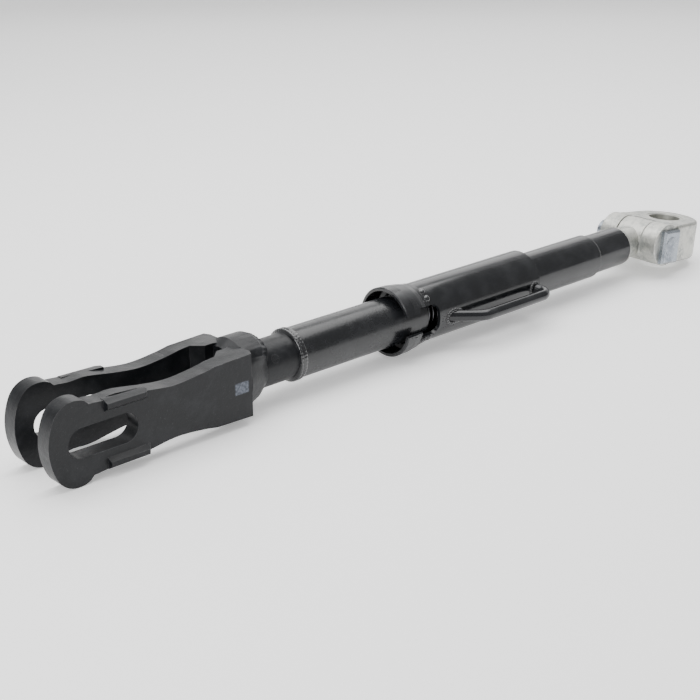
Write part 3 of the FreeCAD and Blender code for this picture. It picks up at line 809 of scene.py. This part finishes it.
    def cone_edges(self, mesh: bmesh.types.BMesh) -> list[bmesh.types.BMEdge]:
        """Edges that run the whole length of the boss's cone.

        Args:
            mesh: The plain forging.

        Returns:
            The edges.
        """
        found = []
        for edge in mesh.edges:
            front, rear = sorted(self.on_fork(vert.co)[0] - self.boss_end for vert in edge.verts)
            if abs(front) < self.slack and abs(rear - self.boss_cone) < self.slack:
                found.append(edge)
        return found

    def forging(self) -> bpy.types.Object:
        """Copy of the forging, its outline faired and its edges rounded as a hammer die leaves them."""
        mesh = merged_copy("fork")
        bmesh.ops.subdivide_edges(mesh, edges=self.cone_edges(mesh), cuts=2, use_grid_fill=True)
        for vert in mesh.verts:
            vert.co = self.in_scene(*self.eased(*self.on_fork(vert.co)))
        piece = new_piece("fork_forging", mesh, self.forged, "fork", 30.0)
        rounder = piece.modifiers.new("forged_edges", "BEVEL")
        rounder.width = self.edge_round
        rounder.segments = self.edge_segments
        rounder.limit_method = "ANGLE"
        rounder.angle_limit = math.radians(self.edge_angle)
        rounder.use_clamp_overlap = True
        rounder.harden_normals = True
        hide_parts("fork")
        return piece

    def build(self) -> None:
        """Dress the fork end."""
        self.forging()
        WeldRing(self.axis, self.weld).build()


@dataclass
class HandleBead:
    """Ring of overlapping weld drops round one foot of the handle.

    The ring is stretched along the link. A drop's size varies from smallest to largest of drop_radius, and it
    is sunk past its middle by the share sunk of drop_radius.
    """

    axis: LinkAxis
    material: bpy.types.Material
    node: str
    stretch: float
    handle_angle: float = -5.0
    sleeve_radius: float = 31.0 * MM
    ring_radius: float = 6.9 * MM
    drop_radius: float = 2.3 * MM
    smallest: float = 0.86
    largest: float = 1.12
    sunk: float = 0.2
    drops: int = 17

    def build(self) -> bpy.types.Object:
        """Lay the drops round the foot, each sunk in the sleeve a little past its middle."""
        low, high = box_of(self.node)
        middle_x = (low.x + high.x) / 2
        chance = random.Random(len(self.node))
        mesh = bmesh.new()
        for index in range(self.drops):
            turn = math.tau * index / self.drops
            x = middle_x + self.ring_radius * self.stretch * math.cos(turn)
            angle = self.handle_angle + math.degrees(self.ring_radius * math.sin(turn) / self.sleeve_radius)
            size = self.drop_radius * chance.uniform(self.smallest, self.largest)
            place = self.axis.point(x, angle, self.sleeve_radius - self.sunk * self.drop_radius)
            bmesh.ops.create_icosphere(mesh, subdivisions=3, radius=size, matrix=Matrix.Translation(place))
        piece = new_piece(self.node + "_bead", mesh, self.material, "turner", 80.0)
        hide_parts(self.node)
        return piece


@dataclass(frozen=True)
class Spray:
    """Patch of weld spatter: its limits along the turner from the collar's rim, its angles and its count."""

    near: float
    far: float
    low_angle: float
    high_angle: float
    count: int


@dataclass
class Spatter:
    """Beads of weld spatter stuck to the collar and the sleeve.

    Lengths are in millimetres from the collar's rim. A bead that would fall in the collar's window lands as
    far behind it.
    """

    axis: LinkAxis
    material: bpy.types.Material
    skin: tuple[tuple[float, float], ...] = ((0.0, 35.6), (12.0, 35.6), (24.0, 34.0), (30.0, 32.6),
                                             (36.3, 31.6), (37.0, 31.0), (200.0, 31.0))
    sprays: tuple[Spray, ...] = (Spray(2.0, 20.0, -17.0, -13.5, 9), Spray(21.0, 44.0, -36.0, -32.0, 12),
                                 Spray(38.0, 62.0, -24.0, 14.0, 22), Spray(22.0, 40.0, 36.0, 66.0, 12),
                                 Spray(62.0, 90.0, -26.0, -14.0, 8))
    smallest: float = 0.35
    largest: float = 0.95
    window_start: float = 20.0
    window_end: float = 49.5
    window_low_angle: float = -32.0
    window_high_angle: float = 33.0

    def skin_radius(self, along: float) -> float:
        """Outer radius of the turner.

        Args:
            along: Distance from the collar's rim in millimetres.

        Returns:
            The radius in millimetres.
        """
        for (x_0, r_0), (x_1, r_1) in zip(self.skin, self.skin[1:]):
            if along <= x_1:
                return r_0 + (r_1 - r_0) * (along - x_0) / (x_1 - x_0)
        return self.skin[-1][1]

    def build(self) -> bpy.types.Object:
        """Scatter the beads, each sunk to its middle."""
        rim = box_of("bell_collar")[0].x
        chance = random.Random(21)
        mesh = bmesh.new()
        for spray in self.sprays:
            for _ in range(spray.count):
                along = chance.uniform(spray.near, spray.far)
                angle = chance.uniform(spray.low_angle, spray.high_angle)
                size = chance.uniform(self.smallest, self.largest)
                beside = self.window_low_angle < angle < self.window_high_angle
                if beside and self.window_start < along < self.window_end:
                    along += self.window_end - self.window_start
                place = self.axis.point(rim + along * MM, angle, self.skin_radius(along) * MM)
                bmesh.ops.create_icosphere(mesh, subdivisions=2, radius=size * MM,
                                           matrix=Matrix.Translation(place))
        return new_piece("weld_spatter", mesh, self.material, "turner", 80.0)


@dataclass
class Turner:
    """The part that turns: collar, sleeve, body tube, handle and their welds."""

    axis: LinkAxis
    gloss: bpy.types.Material
    satin: bpy.types.Material
    weld: bpy.types.Material
    bare: bpy.types.Material
    bronze: bpy.types.Material

    def build(self) -> None:
        """Dress the tubes and add the beads."""
        for node in ("sleeve_tube", "body_tube", "handle", "sleeve_end_ring", "sleeve_inner_ring"):
            dress(node, self.gloss)
        dress("bell_collar", self.satin)
        dress("collar_weld_spots", self.weld)
        dress("spindle_nut", self.bare)
        dress("nut_lock_screw", self.bare)
        dress("neck_bush", self.bronze)
        HandleBead(self.axis, self.weld, "handle_weld_front", 1.55).build()
        HandleBead(self.axis, self.weld, "handle_weld_rear", 1.0).build()
        Spatter(self.axis, self.weld).build()


@dataclass
class Screw:
    """Spindle, guard tube and their small parts."""

    tube: bpy.types.Material
    thread: bpy.types.Material
    zinc: bpy.types.Material

    def build(self) -> None:
        """Dress the screw's pieces."""
        dress("guard_tube", self.tube)
        dress("guard_tube_bush", self.tube)
        dress("fork_cross_pin", self.tube)
        dress("spindle", self.thread)
        for node in ("spindle_stop_washer", "spindle_stop_screw"):
            dress(node, self.zinc)


@dataclass
class SwivelEnd:
    """Knuckle and yoke with their pins and bushes. The pin's head carries the round end of its shaft."""

    casting: bpy.types.Material
    machined: bpy.types.Material
    bronze: bpy.types.Material
    upset_radius: float = 11.6 * MM
    upset_height: float = 0.5 * MM
    upset_edge: float = 0.3 * MM

    def pin_upset(self) -> bpy.types.Object:
        """Round end of the pin's shaft, upset a little proud of the head's face."""
        low = box_of("hinge_pin")[0]
        hinge = Vector(joint_place("yoke_swing"))
        mesh = bmesh.new()
        turn = Matrix.Rotation(math.radians(90), 4, "X")
        place = Matrix.Translation(Vector((hinge.x, low.y, hinge.z))) @ turn
        bmesh.ops.create_cone(mesh, cap_ends=True, segments=64, radius1=self.upset_radius,
                              radius2=self.upset_radius, depth=2 * self.upset_height, matrix=place)
        rims = [edge for edge in mesh.edges if all(vert.co.y < low.y for vert in edge.verts)]
        bmesh.ops.bevel(mesh, geom=rims, offset=self.upset_edge, offset_type="OFFSET", segments=2,
                        profile=0.5, affect="EDGES", clamp_overlap=True, material=-1)
        return new_piece("pin_upset", mesh, self.machined, "yoke", 50.0)

    def build(self) -> None:
        """Dress the swivel end's pieces."""
        self.pin_upset()
        for node in ("knuckle", "yoke"):
            dress(node, self.casting)
        for node in ("hinge_pin", "pin_washer", "pin_split_cotter", "thrust_washer", "castle_nut",
                     "nut_cotter"):
            dress(node, self.machined)
        dress("eye_bush", self.casting)
        dress("tongue_bush", self.bronze)


# ------------------------------------------------------------------ studio
@dataclass(frozen=True)
class Lamp:
    """Soft rectangular lamp: name, place from the link's middle, width and height, and watts."""

    name: str
    offset: tuple[float, float, float]
    size: tuple[float, float]
    power: float


@dataclass
class Studio:
    """Floor, backdrop, lights and camera.

    Lengths are in metres and angles in degrees. The camera's heading is turned from +X towards +Y. The floor
    ends at back_share of its half size, where the backdrop sweeps up in an arc of sweep_radius.
    """

    heading: float = 47.78
    elevation: float = 21.42
    roll: float = -0.47
    lens_width_ratio: float = 1.9712
    sensor: float = 36.0
    camera_from_hinge: Vector = field(default_factory=lambda: Vector((-1.31618, -0.93665, 0.47923)))
    air: float = 0.45
    half_size: float = 6.0
    back_share: float = 0.55
    floor_gap: float = 0.0002
    sweep_radius: float = 2.0
    sweep_steps: int = 8
    lamps: tuple[Lamp, ...] = (Lamp("top_light", (0.1, 0.3, 1.7), (2.6, 1.8), 60.0),
                               Lamp("left_light", (-1.7, -0.4, 0.8), (0.9, 0.9), 15.0),
                               Lamp("back_light", (1.5, 1.7, 1.0), (2.4, 1.0), 10.0))

    def floor(self, white: bpy.types.Material) -> None:
        """Floor under the fork's nose and a curved backdrop far behind.

        Args:
            white: Finish of both.
        """
        mesh = bmesh.new()
        half = self.half_size
        back = half * self.back_share
        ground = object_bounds()[0].z - self.floor_gap
        profile = [(-half, ground), (back, ground)]
        for index in range(1, self.sweep_steps + 1):
            turn = math.radians(90 * index / self.sweep_steps)
            rise = self.sweep_radius * (1 - math.cos(turn))
            profile.append((back + self.sweep_radius * math.sin(turn), ground + rise))
        profile.append((back + self.sweep_radius, ground + half))
        verts = [mesh.verts.new((-2 * half, y, z)) for y, z in profile]
        edges = [mesh.edges.new(pair) for pair in zip(verts, verts[1:])]
        grown = bmesh.ops.extrude_edge_only(mesh, edges=edges)
        moved = [item for item in grown["geom"] if isinstance(item, bmesh.types.BMVert)]
        bmesh.ops.translate(mesh, verts=moved, vec=(4 * half, 0, 0))
        turn = Matrix.Rotation(math.radians(self.heading - 90), 4, "Z")
        bmesh.ops.transform(mesh, matrix=turn, verts=mesh.verts)
        bmesh.ops.recalc_face_normals(mesh, faces=mesh.faces)
        for face in mesh.faces:
            face.smooth = True
        data = bpy.data.meshes.new("studio_floor")
        mesh.to_mesh(data)
        mesh.free()
        data.materials.append(white)
        floor = bpy.data.objects.new("studio_floor", data)
        bpy.context.scene.collection.objects.link(floor)
        floor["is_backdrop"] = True

    def light(self, lamp: Lamp, aim: Vector) -> None:
        """Hang one lamp.

        Args:
            lamp: Its sizes.
            aim: Point that it faces, from which its place is measured.
        """
        place = aim + Vector(lamp.offset)
        data = bpy.data.lights.new(lamp.name, "AREA")
        data.shape = "RECTANGLE"
        data.size, data.size_y = lamp.size
        data.energy = lamp.power
        holder = bpy.data.objects.new(lamp.name, data)
        holder.location = place
        holder.rotation_euler = (aim - place).to_track_quat("-Z", "Y").to_euler()
        bpy.context.scene.collection.objects.link(holder)

    def lights(self, centre: Vector) -> None:
        """White room light with a broad lamp above and softer ones beside.

        Args:
            centre: Middle of the link.
        """
        world = bpy.data.worlds.new("studio_air")
        world.use_nodes = True
        background = world.node_tree.nodes["Background"]
        background.inputs["Color"].default_value = (1.0, 1.0, 1.0, 1.0)
        background.inputs["Strength"].default_value = self.air
        bpy.context.scene.world = world
        for lamp in self.lamps:
            self.light(lamp, centre)

    def camera(self, place: Vector) -> None:
        """Camera at the viewing angle.

        Args:
            place: Its place in the link's frame.
        """
        turn, tilt = math.radians(self.heading), math.radians(self.elevation)
        forward = Vector((math.cos(turn) * math.cos(tilt), math.sin(turn) * math.cos(tilt), -math.sin(tilt)))
        right = Vector((math.sin(turn), -math.cos(turn), 0.0))
        up = right.cross(forward)
        basis = Matrix((right, up, -forward)).transposed()
        basis = basis @ Matrix.Rotation(math.radians(self.roll), 3, "Z")
        data = bpy.data.cameras.new("view")
        data.sensor_width = self.sensor
        data.lens = self.sensor * self.lens_width_ratio
        view = bpy.data.objects.new("view", data)
        view.matrix_world = Matrix.Translation(place) @ basis.to_4x4()
        bpy.context.scene.collection.objects.link(view)
        bpy.context.scene.camera = view


def main() -> None:
    """Build the link's looks in order and report each piece."""
    logging.basicConfig(level=logging.INFO, format="%(message)s")
    axis = LinkAxis()
    forged = BlackPaint("forged_black", roughness_low=0.30, roughness_high=0.44, skin_depth=0.00016,
                        wear=Wear.RUBBED, coat=0.0, specular=0.26, patch=StampPatch().box(axis)).build()
    satin = BlackPaint("satin_black", roughness_low=0.22, roughness_high=0.32, wear=Wear.HANDLED).build()
    gloss = BlackPaint("gloss_black", roughness_low=0.12, roughness_high=0.20, peel_depth=0.00005).build()
    weld = BlackPaint("weld_black", roughness_low=0.10, roughness_high=0.20, coat=0.8).build()
    casting = ZincPlate("zinc_casting").build()
    machined = ZincPlate("zinc_machined", bright=(0.33, 0.36, 0.40), dull=(0.20, 0.22, 0.25),
                         roughness_low=0.24, roughness_high=0.36, grain_depth=0.00005,
                         metallic=0.95).build()
    bare = TurnedMetal("turned_steel").build()
    bronze = TurnedMetal("bearing_bronze", tone=(0.45, 0.28, 0.11), dark=(0.22, 0.13, 0.06)).build()
    ForkEnd(axis, forged, weld).build()
    # The spindle's dark tones are partly oiled steel and partly painted shade, for the spindle lying in shade
    # inside the sleeve behind the collar's window.
    thread = TurnedMetal("thread_steel", tone=(0.20, 0.20, 0.21), dark=(0.05, 0.05, 0.05),
                         thread_pitch=0.006).build()
    Screw(satin, thread, machined).build()
    Turner(axis, gloss, satin, weld, bare, bronze).build()
    SwivelEnd(casting, machined, bronze).build()
    studio = Studio()
    studio.floor(StudioWhite().build())
    low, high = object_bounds()
    studio.lights((low + high) / 2)
    studio.camera(Vector(joint_place("yoke_swing")) + studio.camera_from_hinge)


if __name__ == "__main__":
    main()
